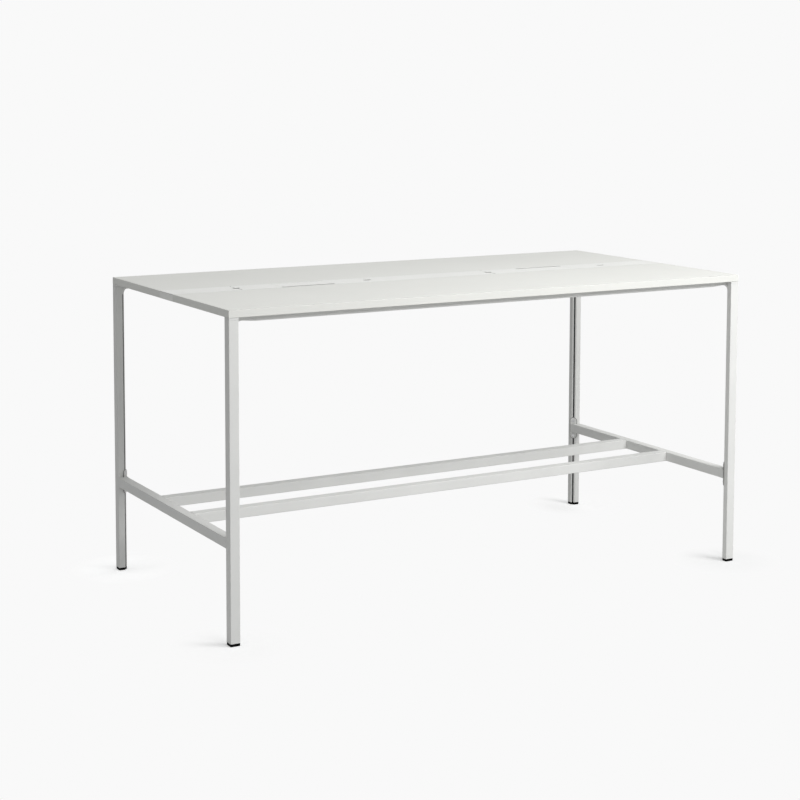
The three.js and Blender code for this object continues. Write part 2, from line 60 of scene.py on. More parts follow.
# Allowances: the gap between fitted pieces, the run of one shell of a piece into the next, the broken edge
# of a sawn end, that of a casting or moulding, a fine joint or sheet edge, and an edge that is left sharp.
# Then the angle from which an edge is shaded sharp, and the least divisor that keeps a mitre short.
FIT = 0.3 * MM
LAP = 1.0 * MM
CUT = 0.3 * MM
CAST = 0.4 * MM
FINE = 0.2 * MM
CRISP = 0.02 * MM
SHARP_ANGLE = math.radians(50)
MITRE_LIMIT = 0.2

# A screw's head: where its dome starts and ends, in radians, and how far the dome is pushed out, as a share
# of the head's radius; then the heights of the socket's rim, top and floor, as shares of the head's height.
DOME_START = 0.35
DOME_END = math.pi / 2 - 0.5
DOME_PUSH = 0.06
SOCKET_LEVELS = (0.97, 0.95, 0.45)

# The middle of a noise's range, over which tints and numbers change.
MIDDLE = (0.3, 0.7)

# Camera: the picture's side, the focal length and the row of the lens axis in pixels, the sensor in
# millimetres, the angles in degrees and the place in metres.
PICTURE = 800.0
FOCAL = 1756.0
AXIS_ROW = 230.0
SENSOR = 36.0
HEADING = 29.63
TILT = 5.083
ROLL = 0.126
CAMERA_PLACE = (-3.16395, -5.35613, 1.76735)
FAR_CLIP = 200.0

# Softboxes: name, the stage's power, place, target and side.
SOFTBOXES = (
    ("key_softbox", "key", (2.0, -2.6, 3.1), (0.2, -0.2, 0.7), 1.6),
    ("fill_softbox", "fill", (-0.2, -2.9, 3.0), (0.0, -0.2, 0.7), 1.6),
    ("crown_softbox", "crown", (0.0, 0.0, 3.6), (0.0, 0.0, 1.0), 3.0),
)
SKY_TINT = (0.985, 0.995, 1.0, 1.0)

# Floor: half its side, its points along a side, the light on it in the middle and its change per metre, and
# the distances from a foot between which the shadow fades.
FLOOR_REACH = 40.0
FLOOR_POINTS = 9
FLOOR_LIGHT = 0.80
FLOOR_SLOPE = (0.129, -0.366, 0.0)
SHADOW_FADE = (0.03, 0.2)


# Sizes and colours


def length(name, description, default):
    """A length property in metres, with its default given in millimetres."""
    return bpy.props.FloatProperty(
        name=name, description=description, default=default * MM, min=0.0, unit="LENGTH"
    )


def colour(name, description, default):
    """A linear colour property."""
    return bpy.props.FloatVectorProperty(
        name=name, description=description, default=default, size=3, min=0.0, max=1.0, subtype="COLOR"
    )


def level(name, description, default, **limits):
    """A number property from zero up."""
    return bpy.props.FloatProperty(name=name, description=description, default=default, min=0.0, **limits)


class TableShapes(bpy.types.PropertyGroup):
    """Sizes of the finished edges and of the small forms"""

    panel_edge: length("Panel edge", "Rounding along the edges of the top panels", 1.2)
    lid_edge: length("Lid edge", "Rounding along the edges of lids and flaps", 0.25)
    lid_wall: length("Lid wall", "Wall of the lid's channel section", 1.5)
    lid_border: length("Lid border", "Border of the lid beside the window for the flap", 4.4)
    carrier: length("Hinge carrier", "Length of the solid part past each end of the flap", 16.0)
    flap_gap: length("Flap gap", "Gap at each end of the flap", 0.5)
    flap_shoulder: length("Flap shoulder", "Width of the shoulder under each end of the flap", 3.5)
    flap_lip: length("Flap lip", "Straight part of the flap's free edge above its undercut", 0.6)
    leg_corner: length("Leg corner", "Rounding of the leg's long corners", 1.8)
    leg_chamfer: length("Leg chamfer", "Width taken off the leg's inner corner on each face", 12.0)
    groove_mouth: length("Groove mouth", "Opening of the groove along the leg's chamfer", 6.0)
    groove_lip: length("Groove lip", "Thickness of the lips beside the groove's mouth", 2.5)
    groove_pocket: length("Groove pocket", "Width of the groove behind its lips", 11.0)
    groove_depth: length("Groove depth", "Depth of the groove behind its lips", 7.0)
    groove_corner: length("Groove corner", "Rounding of the groove's corners", 0.35)
    tube_corner: length("Tube corner", "Rounding of the long corners of bars, rails and beams", 2.2)
    foot_corner: length("Foot corner", "Rounding of the foot's upright corners", 2.8)
    foot_edge: length("Foot edge", "Rounding under the foot", 0.6)
    arm_fillet: length("Arm fillet", "Radius between the casting's arm and the leg", 22.0)
    arm_rise: length("Arm rise", "Rise of the arm's underside towards the leg", 4.0)
    plate_thickness: length("Plate thickness", "Thickness of the bracket plate", 2.0)
    plate_width: length("Plate width", "Width of the bracket plate", 29.0)
    plate_edge: length("Plate edge", "Rounding along the bracket plate's edge", 1.8)
    wedge_length: length("Wedge length", "Length of the wedge between bracket plate and crossbar", 24.0)
    wedge_edge: length("Wedge edge", "Rounding of the wedge's upper and lower edges", 0.5)
    notch_length: length("Notch length", "Length of the cable notch at a lid joint", 30.0)
    notch_width: length("Notch width", "Width of the cable notch at a lid joint", 22.0)
    tray_bend: length("Tray bend", "Outside radius of the tray's bends", 3.0)
    tray_sheet: length("Tray sheet", "Thickness of the tray's sheet", 1.5)
    tray_flange: length("Tray flange", "Width of the tray's flanges", 15.0)
    screw_head: length("Screw head", "Radius of a bracket screw's head", 5.0)
    screw_rise: length("Screw rise", "Height of a bracket screw's head", 1.8)
    screw_shank: length("Screw shank", "Reach of a bracket screw into the leg's groove", 6.0)
    screw_socket: length("Screw socket", "Half the width across the flats of the screw's socket", 1.5)
    socket_rim: length("Socket rim", "Width of the rim round the screw's socket", 0.6)


class TableFinishes(bpy.types.PropertyGroup):
    """Colours of the finishes"""

    top: colour("Top", "Laminate of the top panels", (0.74, 0.742, 0.71))
    lid: colour("Lid", "Coat of the lids and flaps", (0.765, 0.767, 0.74))
    frame: colour("Frame", "Powder coat of legs, rails and bars", (0.72, 0.722, 0.705))
    casting: colour("Casting", "Powder coat of the corner castings", (0.70, 0.702, 0.685))
    # The rim's dark tone is painted shade: it stands in for the contact shadow round the bracket plate.
    rim: colour("Rim", "Thin coat on the rounded edge of the bracket plates", (0.2, 0.2, 0.197))
    edge: colour("Edge", "Anodised edge profiles", (0.82, 0.83, 0.83))
    tray: colour("Tray", "Powder coat of the cable trays", (0.60, 0.61, 0.60))
    steel: colour("Steel", "Plated screws, nut plates and pins", (0.60, 0.605, 0.61))
    # The groove's near black is painted shade: it stands in for the shade deep in the leg's narrow groove.
    groove: colour("Groove", "Bare aluminium inside the leg's groove", (0.10, 0.10, 0.103))
    foot: colour("Foot", "Moulded feet", (0.003, 0.003, 0.003))


class TableStage(bpy.types.PropertyGroup):
    """Floor and light"""

    paper: level("Paper", "Brightness of the bare background", 0.947, max=1.0)
    bounce: level("Bounce", "Grey that the floor throws back on the table", 0.64, max=1.0)
    shadow: level("Shadow", "Weight of the legs' shadows on the floor", 0.6, max=1.0)
    sky: level("Sky", "Strength of the even light", 0.42)
    key: level("Key", "Power of the softbox high in front on the right", 95.0, unit="POWER")
    fill: level("Fill", "Power of the softbox high in front of the middle", 36.0, unit="POWER")
    crown: level("Crown", "Power of the softbox above the top", 6.0, unit="POWER")


# Shapes


def span(node):
    """Lowest and highest corner of a CAD node as arrays."""
    low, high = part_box(node)
    return np.array(low, float), np.array(high, float)


def unit(v):
    """Each vector divided by its length."""
    return v / np.maximum(np.linalg.norm(v, axis=-1, keepdims=True), 1e-12)


def ccw(outline):
    """The outline in anticlockwise order: reversed where its signed area is negative."""
    after = np.roll(outline, -1, axis=0)
    area = np.sum(outline[:, 0] * after[:, 1] - outline[:, 1] * after[:, 0])
    return outline if area > 0 else outline[::-1]


def arc(centre, radius, start, end, steps):
    """Points centre + radius (cos t, sin t) with t running evenly from start to end."""
    t = np.linspace(start, end, steps + 1)
    return np.column_stack((centre[0] + radius * np.cos(t), centre[1] + radius * np.sin(t)))


def softened(points, radii, steps=4):
    """Each corner becomes an arc that touches both its sides: the arc's centre lies on the corner's
    bisector at radius / sin(half angle), and its points turn evenly from one side's foot to the other's."""
    points = ccw(np.asarray(points, float))
    radii = np.broadcast_to(np.asarray(radii, float), len(points))[:, None]
    back = unit(np.roll(points, 1, axis=0) - points)
    ahead = unit(np.roll(points, -1, axis=0) - points)
    half = np.arccos(np.clip(np.sum(back * ahead, axis=1, keepdims=True), -1, 1)) / 2
    centre = points + unit(back + ahead) * radii / np.sin(half)
    first = points + back * radii / np.tan(half) - centre
    last = points + ahead * radii / np.tan(half) - centre
    turn = (np.pi - 2 * half)[:, :, None]
    t = np.linspace(0, 1, steps + 1)[None, :, None]
    mix = (np.sin((1 - t) * turn) * first[:, None] + np.sin(t * turn) * last[:, None]) / np.sin(turn)
    return (centre[:, None] + mix).reshape(-1, 2)


def rectangle(a0, b0, a1, b1):
    """The four corners of a rectangle."""
    return np.array(((a0, b0), (a1, b0), (a1, b1), (a0, b1)), float)


def inward(outline):
    """For each point of an anticlockwise outline, the mitred step that moves its two sides in by one."""
    side = unit(np.roll(outline, -1, axis=0) - outline)
    normal = np.column_stack((-side[:, 1], side[:, 0]))
    before = np.roll(normal, 1, axis=0)
    return (before + normal) / np.maximum(1 + np.sum(before * normal, axis=1, keepdims=True), MITRE_LIMIT)


def edge_rings(start, end, soft_start, soft_end, steps=3):
    """Insets and heights of the rings of a bar with rounded ends: a quarter circle at each end,
    inset = soft (1 - sin t) and height = soft (1 - cos t) in from that end."""
    t = np.linspace(0, np.pi / 2, steps + 1)
    across = 1 - np.sin(t)
    along = 1 - np.cos(t)
    inset = np.concatenate((soft_start * across, soft_end * across[::-1]))
    height = np.concatenate((start + soft_start * along, end - soft_end * along[::-1]))
    return inset, height


def wall_faces(rings, count, first=0):
    """Quads between neighbouring rings of a closed grid."""
    i, j = np.meshgrid(np.arange(rings - 1), np.arange(count), indexing="ij")
    k = (j + 1) % count
    quads = np.stack((i * count + j, i * count + k, (i + 1) * count + k, (i + 1) * count + j), axis=-1)
    return (quads.reshape(-1, 4) + first).tolist()


def capped_faces(rings, count):
    """The walls between the rings of a closed grid, and the flat faces on its first and last ring."""
    first = list(range(count))
    last = list(range((rings - 1) * count, rings * count))
    return wall_faces(rings, count) + [first[::-1], last]


def swept(outline, start, end, across, up, soft=0.0, origin=(0.0, 0.0, 0.0)):
    """An anticlockwise outline carried straight along across x up from start to end, with rounded ends:
    point = origin + across (p + inset) + up (q + inset) + along height. soft is one rounding or two."""
    outline = ccw(np.asarray(outline, float))
    across = np.asarray(across, float)
    up = np.asarray(up, float)
    along = np.cross(across, up)
    inset, height = edge_rings(start, end, *np.broadcast_to(np.maximum(soft, CRISP), 2))
    flat = outline[None] + inward(outline)[None] * inset[:, None, None]
    points = np.asarray(origin, float) + flat[..., :1] * across + flat[..., 1:] * up
    points = points + height[:, None, None] * along
    return points.reshape(-1, 3), capped_faces(*flat.shape[:2])


def along_x(outline, start, end, soft=0.0):
    """An outline in Y and Z carried along X."""
    return swept(outline, start, end, (0, 1, 0), (0, 0, 1), soft)


def along_y(outline, start, end, soft=0.0):
    """An outline in Z and X carried along Y; it is given as X and Z."""
    outline = np.asarray(outline, float)[:, ::-1]
    return swept(outline, start, end, (0, 0, 1), (1, 0, 0), soft)


def along_z(outline, start, end, soft=0.0):
    """An outline in X and Y carried along Z."""
    return swept(outline, start, end, (1, 0, 0), (0, 1, 0), soft)


def framed(outer, hole, halves, bottom, top, soft):
    """A flat plate with a window. The outer wall and the window's wall are stacks of rings, and each flat
    side is two faces that meet either side of the window: halves gives the points of the two loops
    where they meet, opposite the loops' first points."""
    inset, height = edge_rings(bottom, top, CRISP, soft)
    loops = []
    for loop, way in ((outer, 1.0), (hole, -1.0)):
        rings = loop[None] + way * inward(loop)[None] * inset[:, None, None]
        rise = np.broadcast_to(height[:, None, None], rings.shape[:2] + (1,))
        loops.append(np.concatenate((rings, rise), axis=2))
    rim, gap = loops
    rings, rim_count = rim.shape[:2]
    gap_count = gap.shape[1]
    base = rings * rim_count
    faces = wall_faces(rings, rim_count)
    faces += [face[::-1] for face in wall_faces(rings, gap_count, base)]
    m, k = halves
    for ring, below in ((0, True), (rings - 1, False)):
        o = ring * rim_count
        h = base + ring * gap_count
        right = [*range(o, o + m + 1), *range(h + k, h - 1, -1)]
        left = [*range(o + m, o + rim_count), o, h, *range(h + gap_count - 1, h + k - 1, -1)]
        faces += [right[::-1], left[::-1]] if below else [right, left]
    return np.concatenate((rim.reshape(-1, 3), gap.reshape(-1, 3))), faces


def turned(profile, axis, origin, hexagon, count=36):
    """A profile of (radius, height) turned about an axis: ring i, angle t gives
    origin + radius (cos t, sin t) across the axis + height along it. The rings from index hexagon on
    follow a hexagon instead of a circle: radius / cos of the angle to the nearest flat."""
    profile = np.asarray(profile, float)
    axis = unit(np.asarray(axis, float))
    side = unit(np.cross((0.0, 0.0, 1.0), axis))
    up = np.cross(axis, side)
    t = np.linspace(0, 2 * np.pi, count, endpoint=False)
    radius = np.repeat(profile[:, :1], count, axis=1)
    radius[hexagon:] /= np.cos((t + np.pi / 6) % (np.pi / 3) - np.pi / 6)
    points = np.asarray(origin, float) + profile[:, 1][:, None, None] * axis
    points = points + (radius * np.cos(t))[..., None] * side + (radius * np.sin(t))[..., None] * up
    return points.reshape(-1, 3), capped_faces(len(profile), count)


def make_piece(name, shells, finish, nodes, body="frame"):
    """One mesh from its closed shells, shaded smooth over its roundings, that rides on its body in place
    of its nodes."""
    points = np.concatenate([shell for shell, _ in shells])
    starts = np.cumsum([0] + [len(shell) for shell, _ in shells[:-1]]).tolist()
    faces = []
    for (_, shell_faces), start in zip(shells, starts):
        faces += [[i + start for i in face] for face in shell_faces]
    mesh = bpy.data.meshes.new(name)
    mesh.from_pydata(points.tolist(), [], faces)
    if mesh.validate():
        raise RuntimeError(f"{name} has faces that don't hold together")
    mesh.shade_smooth()
    mesh.set_sharp_from_angle(angle=SHARP_ANGLE)
    mesh.materials.append(finish_named(finish))
    piece = bpy.data.objects.new(name, mesh)
    bpy.context.scene.collection.objects.link(piece)
    normals = piece.modifiers.new("Even shading", "WEIGHTED_NORMAL")
    normals.keep_sharp = True
    normals.weight = 100
    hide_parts(*nodes)
    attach(piece, body)
    return piece


def second_finish(piece, finish, chosen):
    """Puts a second finish on the chosen faces of a piece."""
    piece.data.materials.append(finish_named(finish))
    piece.data.polygons.foreach_set("material_index", chosen.astype(np.int32))


def dress_node(node, finish):
    """A CAD node whose shape is right keeps its mesh and gets its finish."""
    piece = frame["nodes"][node]
    piece.data.materials.clear()
    piece.data.materials.append(finish_named(finish))


# Finishes


def plug(tree, node, *values, **sockets):
    """Sets a node's sockets, in order or by name with underscores for spaces: another node's output is
    linked, and any other value is set as it is."""
    named = {name.replace("_", " "): value for name, value in sockets.items()}
    for socket, value in (*enumerate(values), *named.items()):
        if isinstance(value, bpy.types.NodeSocket):
            tree.links.new(value, node.inputs[socket])
        else:
            node.inputs[socket].default_value = value
    return node


def add_node(tree, kind, *values, **sockets):
    """A shader node with its sockets set."""
    return plug(tree, tree.nodes.new(f"ShaderNode{kind}"), *values, **sockets)


def add_sum(tree, kind, operation, *values):
    """The output of a node that works out a sum from its values in order."""
    node = add_node(tree, kind, *values)
    node.operation = operation
    return next(output for output in node.outputs if output.enabled)


def start_finish(name):
    """A new material with its node tree and the output that gives object coordinates."""
    finish = bpy.data.materials.new(name)
    finish.use_nodes = True
    tree = finish.node_tree
    return finish, tree, add_node(tree, "TexCoord").outputs["Object"]


def end_finish(finish, **sockets):
    """Sets the sockets of a material's shader."""
    plug(finish.node_tree, finish.node_tree.nodes["Principled BSDF"], **sockets)
    return finish


def add_noise(tree, place, scale, detail, stretch=(1.0, 1.0, 1.0)):
    """A noise on object coordinates; scale counts features per metre and stretch draws them out."""
    mapping = add_node(tree, "Mapping", Vector=place, Scale=stretch)
    noise = add_node(tree, "TexNoise", Vector=mapping.outputs["Vector"], Scale=scale, Detail=detail)
    return noise.outputs["Fac"]


def tint_range(tree, value, low, high):
    """A colour ramp from low to high over the middle of a noise's range."""
    ramp = add_node(tree, "ValToRGB", Fac=value)
    for stop, position, tone in zip(ramp.color_ramp.elements, MIDDLE, (low, high)):
        stop.position = position
        stop.color = (*tone, 1.0)
    return ramp.outputs["Color"]


def number_range(tree, value, low, high, ends=MIDDLE, kind="LINEAR"):
    """A number from low to high while the value goes from one end to the other."""
    ranged = add_node(
        tree, "MapRange", Value=value, From_Min=ends[0], From_Max=ends[1], To_Min=low, To_Max=high
    )
    ranged.interpolation_type = kind
    return ranged.outputs["Result"]


def add_bump(tree, value, strength, height, **under):
    """A bump of the given height in metres, laid over another where its normal is given."""
    bump = add_node(tree, "Bump", Height=value, Strength=strength, Distance=height, **under)
    return bump.outputs["Normal"]


def shade(base, factor):
    """A colour made lighter or darker."""
    return tuple(min(channel * factor, 1.0) for channel in base)


def powder_coat(name, base, roughness, grain=900.0, relief=0.25, gloss=0.12):
    """Powder coat: orange peel of about a millimetre over a slow wave, and a drift of tone and gloss."""
    finish, tree, place = start_finish(name)
    drift = add_noise(tree, place, scale=6.0, detail=3.0)
    peel = add_noise(tree, place, scale=grain, detail=2.0)
    wave = add_noise(tree, place, scale=grain / 7, detail=1.0)
    under = add_bump(tree, wave, strength=0.25, height=0.08 * MM)
    return end_finish(
        finish,
        Base_Color=tint_range(tree, drift, shade(base, 0.975), shade(base, 1.02)),
        Roughness=number_range(tree, peel, roughness - 0.05, roughness + 0.06),
        Normal=add_bump(tree, peel, strength=relief, height=0.06 * MM, Normal=under),
        Specular_IOR_Level=gloss,
    )


def laminate(name, base):
    """Laminate: a satin sheet with a fine pearl grain, faint flecks and a very slow drift of tone."""
    finish, tree, place = start_finish(name)
    drift = add_noise(tree, place, scale=2.2, detail=3.0)
    fleck = add_noise(tree, place, scale=700.0, detail=4.0)
    pearl = add_noise(tree, place, scale=1500.0, detail=2.0)
    slow = tint_range(tree, drift, shade(base, 0.985), shade(base, 1.012))
    fine = tint_range(tree, fleck, (0.975, 0.975, 0.972), (1.0, 1.0, 1.0))
    blend = add_node(tree, "Mix", Factor=1.0)
    blend.data_type = "RGBA"
    blend.blend_type = "MULTIPLY"
    plug(tree, blend, A=slow, B=fine)
    return end_finish(
        finish,
        Base_Color=blend.outputs["Result"],
        Roughness=number_range(tree, fleck, 0.54, 0.64),
        Normal=add_bump(tree, pearl, strength=0.22, height=0.04 * MM),
        Specular_IOR_Level=0.3,
    )


def drawn_metal(name, base, roughness, stretch):
    """Plated or anodised metal, and the near-black painted shade inside the leg's groove: hair lines drawn
    out along the piece, in tone, gloss and relief.
    """
    finish, tree, place = start_finish(name)
    lines = add_noise(tree, place, scale=1800.0, detail=3.0, stretch=stretch)
    return end_finish(
        finish,
        Base_Color=tint_range(tree, lines, shade(base, 0.93), shade(base, 1.04)),
        Roughness=number_range(tree, lines, roughness - 0.06, roughness + 0.08),
        Normal=add_bump(tree, lines, strength=0.15, height=0.02 * MM),
        Metallic=1.0,
    )


def moulded_plastic(name, base):
    """Moulded plastic: a fine spark-eroded grain with a little drift of gloss."""
    finish, tree, place = start_finish(name)
    grain = add_noise(tree, place, scale=1600.0, detail=3.0)
    drift = add_noise(tree, place, scale=60.0, detail=2.0)
    return end_finish(
        finish,
        Base_Color=tint_range(tree, grain, shade(base, 0.75), shade(base, 1.5)),
        Roughness=number_range(tree, drift, 0.72, 0.86),
        Normal=add_bump(tree, grain, strength=0.35, height=0.08 * MM),
        Specular_IOR_Level=0.06,
    )


def finish_named(name):
    """The table's finish of that name, made on first use."""
    if name in bpy.data.materials:
        return bpy.data.materials[name]
    tones = bpy.context.scene.table_finishes
    coats = {
        "lid_coat": dict(base=tones.lid, roughness=0.42, relief=0.2, gloss=0.45),
        "frame_coat": dict(base=tones.frame, roughness=0.5),
        "casting_coat": dict(base=tones.casting, roughness=0.55, grain=520.0, relief=0.45),
        # A dark coat on the bracket plate's rim: painted shade round the plate.
        "rim_coat": dict(base=tones.rim, roughness=0.6),
        "tray_coat": dict(base=tones.tray, roughness=0.5, grain=700.0, relief=0.3, gloss=0.3),
    }
    metals = {
        "anodised_edge": dict(base=tones.edge, roughness=0.34, stretch=(0.02, 1.0, 1.0)),
        "plated_steel": dict(base=tones.steel, roughness=0.5, stretch=(1.0, 1.0, 0.2)),
        # Near-black metal inside the leg's groove: painted shade for the deep groove.
        "bare_groove": dict(base=tones.groove, roughness=0.55, stretch=(1.0, 1.0, 0.02)),
    }
    if name in coats:
        return powder_coat(name, **coats[name])
    if name in metals:
        return drawn_metal(name, **metals[name])
    others = {"pale_laminate": (laminate, tones.top), "black_plastic": (moulded_plastic, tones.foot)}
    maker, base = others[name]
    return maker(name, base)


# Pieces


def corner_signs(corner):
    """The signs of X and Y at a corner of the table."""
    return (1 if corner.endswith("right") else -1), (1 if corner.startswith("rear") else -1)


def leg_frame(corner):
    """A leg's box and size, and the function that places points given in from the table's end and side."""
    low, high = span(f"leg_{corner}")
    sx, sy = corner_signs(corner)
    outer = np.array((high[0] if sx > 0 else low[0], high[1] if sy > 0 else low[1]))

    def place(points):
        return outer - np.asarray(points, float) * (sx, sy)

    return low, high, high[0] - low[0], place


def chamfered_square(size, chamfer):
    """The leg's plain outline: a square with its inner corner cut off."""
    return np.array(((0, 0), (size, 0), (size, size - chamfer), (size - chamfer, size), (0, size)), float)


class TABLE_OT_top_panels(bpy.types.Operator):
    """Adds the front and rear top panels"""

    bl_idname = "table.top_panels"
    bl_label = "Top panels"

    def execute(self, context):
        soft = context.scene.table_shapes.panel_edge
        for name in ("panel_front", "panel_rear"):
            low, high = span(name)
            outline = softened(rectangle(low[0], low[1], high[0], high[1]), soft)
            shell = along_z(outline, low[2], high[2], soft)
            make_piece(f"top_{name}", [shell], "pale_laminate", [name])
        return {"FINISHED"}


def lid_end(lid, neighbour, half, shapes, towards):
    """The points along one end of a lid, from -half to half: square to the lid, with half of the notch
    for cables that spans the joint. towards is 1 at the right end and -1 at the left."""
    own, other = (1, 0)[::towards]
    x = span(lid)[own][0]
    joint = (x + span(neighbour)[other][0]) / 2
    radius = shapes.notch_width / 2
    run = shapes.notch_length / 2 - radius
    centre = (joint - towards * run, 0.0)
    bow = arc(centre, radius, -math.pi / 2, -1.5 * math.pi, steps=12)
    if towards < 0:
        bow = np.column_stack((2 * centre[0] - bow[:, 0], bow[:, 1]))
    edge = np.array(((x, -half), (x, -radius)))
    return np.concatenate((edge, bow, edge[::-1] * (1, -1)))


def add_strip_piece(node, shells):
    """A lid or flap of the cable strip, which moves as a body of its own."""
    make_piece(f"strip_{node}", shells, "lid_coat", [node], body=node)


def lid_sides(x0, x1, inner, outer, low, high, soft):
    """The two side walls of a lid's channel section, carried along X."""
    near = softened(rectangle(inner, low, outer, high), soft)
    return [along_x(near * (way, 1), x0, x1) for way in (-1, 1)]


class TABLE_OT_plain_lids(bpy.types.Operator):
    """Adds the centre lid and the two end lids of the cable strip"""

    bl_idname = "table.plain_lids"
    bl_label = "Plain lids"

    def execute(self, context):
        shapes = context.scene.table_shapes
        soft = shapes.lid_edge
        wall = shapes.lid_wall
        low, high = span("lid_centre")
        half = high[1]
        under = low[2]
        skin = high[2] - wall
        left = lid_end("lid_centre", "lid_flap_left", half, shapes, -1)
        right = lid_end("lid_centre", "lid_flap_right", half, shapes, 1)
        shells = [along_z(np.concatenate((right, left[::-1])), skin, high[2], (0.0, soft))]
        shells += lid_sides(low[0], high[0], half - wall, half, under, skin + LAP, soft)
        add_strip_piece("lid_centre", shells)
        closer = span("edge_profile_front")[0][0] - span("panel_front")[0][0] - FIT
        for side, way in (("left", 1), ("right", -1)):
            name = f"lid_end_{side}"
            low, high = span(name)
            near, far = (high[0], low[0])[::way]
            inner = lid_end(name, f"lid_flap_{side}", half, shapes, way)
            block = far + way * closer
            rim = np.array(((block, half), (block, high[1]), (far, high[1])))
            outer = np.concatenate((rim, rim[::-1] * (1, -1)))
            shells = [along_z(np.concatenate((inner, outer)), skin, high[2], (0.0, soft))]
            ends = sorted((block, near))
            shells += lid_sides(*ends, half - wall, half, under, skin + LAP, soft)
            end = rectangle(min(block, far), low[1], max(block, far), high[1])
            shells.append(along_z(end, low[2], skin + LAP, (soft, 0.0)))
            add_strip_piece(name, shells)
        return {"FINISHED"}


def add_flap_lid(side, before, after, shapes):
    """A lid with a window: its skin, the channel's walls, the borders, and a hinge carrier at each end."""
    soft = shapes.lid_edge
    wall = shapes.lid_wall
    name = f"lid_flap_{side}"
    low, high = span(name)
    flap_low, flap_high = span(f"flap_{side}")
    middle = (flap_low[0] + flap_high[0]) / 2
    half = high[1]
    skin = high[2] - wall
    right = lid_end(name, after, half, shapes, 1)
    left = lid_end(name, before, half, shapes, -1)[::-1]
    outer = np.concatenate((((middle, -half),), right, ((middle, half),), left))
    reach = (flap_high[0] - flap_low[0]) / 2 + shapes.flap_gap
    opening = half - shapes.lid_border
    hole = np.array(((0, -opening), (reach, -opening), (reach, opening)))
    hole = np.concatenate((hole, -hole)) + (middle, 0)
    shells = [framed(outer, hole, (len(right) + 1, 3), skin, high[2], soft)]
    shells += lid_sides(low[0], high[0], half - wall, half, low[2], skin + LAP, soft)
    far = reach + shapes.carrier
    border = (opening, half - wall + LAP / 2)
    shells += lid_sides(middle - far, middle + far, *border, low[2], skin + LAP, soft)
    step = flap_low[2] - FIT
    shoulder = reach - shapes.flap_shoulder
    top = skin + LAP / 2
    back = ((shoulder, low[2]), (far, low[2]), (far, top))
    block = np.array((*back, (reach, top), (reach, step), (shoulder, step)))
    for way in (-1, 1):
        profile = ccw(block * (way, 1) + (middle, 0))
        shells.append(along_y(profile, -half + wall, half - wall, soft))
    add_strip_piece(name, shells)


class TABLE_OT_flap_lids(bpy.types.Operator):
    """Adds the two lids with a window for a flap"""

    bl_idname = "table.flap_lids"
    bl_label = "Flap lids"

    def execute(self, context):
        shapes = context.scene.table_shapes
        add_flap_lid("left", "lid_end_left", "lid_centre", shapes)
        add_flap_lid("right", "lid_centre", "lid_end_right", shapes)
        return {"FINISHED"}


class TABLE_OT_flaps(bpy.types.Operator):
    """Adds the two hinged flaps, undercut along their free edge"""

    bl_idname = "table.flaps"
    bl_label = "Flaps"

    def execute(self, context):
        shapes = context.scene.table_shapes
        soft = shapes.lid_edge
        for name, way in (("flap_left", 1), ("flap_right", -1)):
            low, high = span(name)
            thick = high[2] - low[2]
            free, reach = sorted((way * low[1], way * high[1]))
            middle = (reach - thick / 2, low[2] + thick / 2)
            roll = arc(middle, thick / 2, -math.pi / 2, math.pi / 2, steps=14)
            lip = arc((free + soft, high[2] - soft), soft, math.pi / 2, math.pi, steps=4)
            drop = thick - shapes.flap_lip
            edge = np.array(((free, high[2] - shapes.flap_lip), (free + drop, low[2])))
            outline = np.concatenate((roll, lip, edge)) * (way, 1)
            shell = along_x(outline, low[0], high[0], soft)
            add_strip_piece(name, [shell])
        return {"FINISHED"}


class TABLE_OT_edge_profiles(bpy.types.Operator):
    """Finishes the edge profiles beside the cable strip"""

    bl_idname = "table.edge_profiles"
    bl_label = "Edge profiles"

    def execute(self, context):
        for name in ("edge_profile_front", "edge_profile_rear"):
            dress_node(name, "anodised_edge")
        return {"FINISHED"}


def add_leg(corner, shapes):
    """A leg whose groove is set out along the diagonal from its outer corner; the groove's inside is
    painted near black, as painted shade for the deep groove.
    """
    low, high, size, place = leg_frame(corner)
    sx, sy = corner_signs(corner)
    mouth = shapes.groove_mouth / 2
    pocket = shapes.groove_pocket / 2
    depth = (2 * size - shapes.leg_chamfer) / math.sqrt(2)
    top = depth - shapes.groove_lip
    bottom = top - shapes.groove_depth
    groove = np.array(((depth, mouth), (top, mouth), (top, pocket), (bottom, pocket)))
    groove = np.concatenate((groove, groove[::-1] * (1, -1)))
    groove = np.column_stack((groove.sum(axis=1), groove[:, 0] - groove[:, 1])) / math.sqrt(2)
    plain = chamfered_square(size, shapes.leg_chamfer)
    outline = place(np.concatenate((plain[:3], groove, plain[3:])))
    soft = np.full(len(outline), shapes.groove_corner)
    soft[[0, 1, 2, -2, -1]] = shapes.leg_corner
    way = sx * sy
    shell = along_z(softened(outline[::way], soft[::way]), low[2], high[2], CUT)
    leg = make_piece(f"upright_{corner}", [shell], "frame_coat", [f"leg_{corner}"])
    centres = np.empty(len(leg.data.polygons) * 3)
    leg.data.polygons.foreach_get("center", centres)
    centres = centres.reshape(-1, 3)
    local = (outline[0] - centres[:, :2]) * (sx, sy)
    along = local.sum(axis=1) / math.sqrt(2)
    across = np.abs(local[:, 0] - local[:, 1]) / math.sqrt(2)
    # The faces inside the groove, which get the painted shade.
    inside = (across < pocket + LAP / 10) & (along > bottom - LAP / 10) & (along < depth - LAP)
    inside &= np.abs(centres[:, 2] - (low[2] + high[2]) / 2) < (high[2] - low[2]) / 2 - LAP
    second_finish(leg, "bare_groove", inside)


class TABLE_OT_legs(bpy.types.Operator):
    """Adds the four grooved legs"""

    bl_idname = "table.legs"
    bl_label = "Legs"

    def execute(self, context):
        for corner in CORNERS:
            add_leg(corner, context.scene.table_shapes)
        return {"FINISHED"}


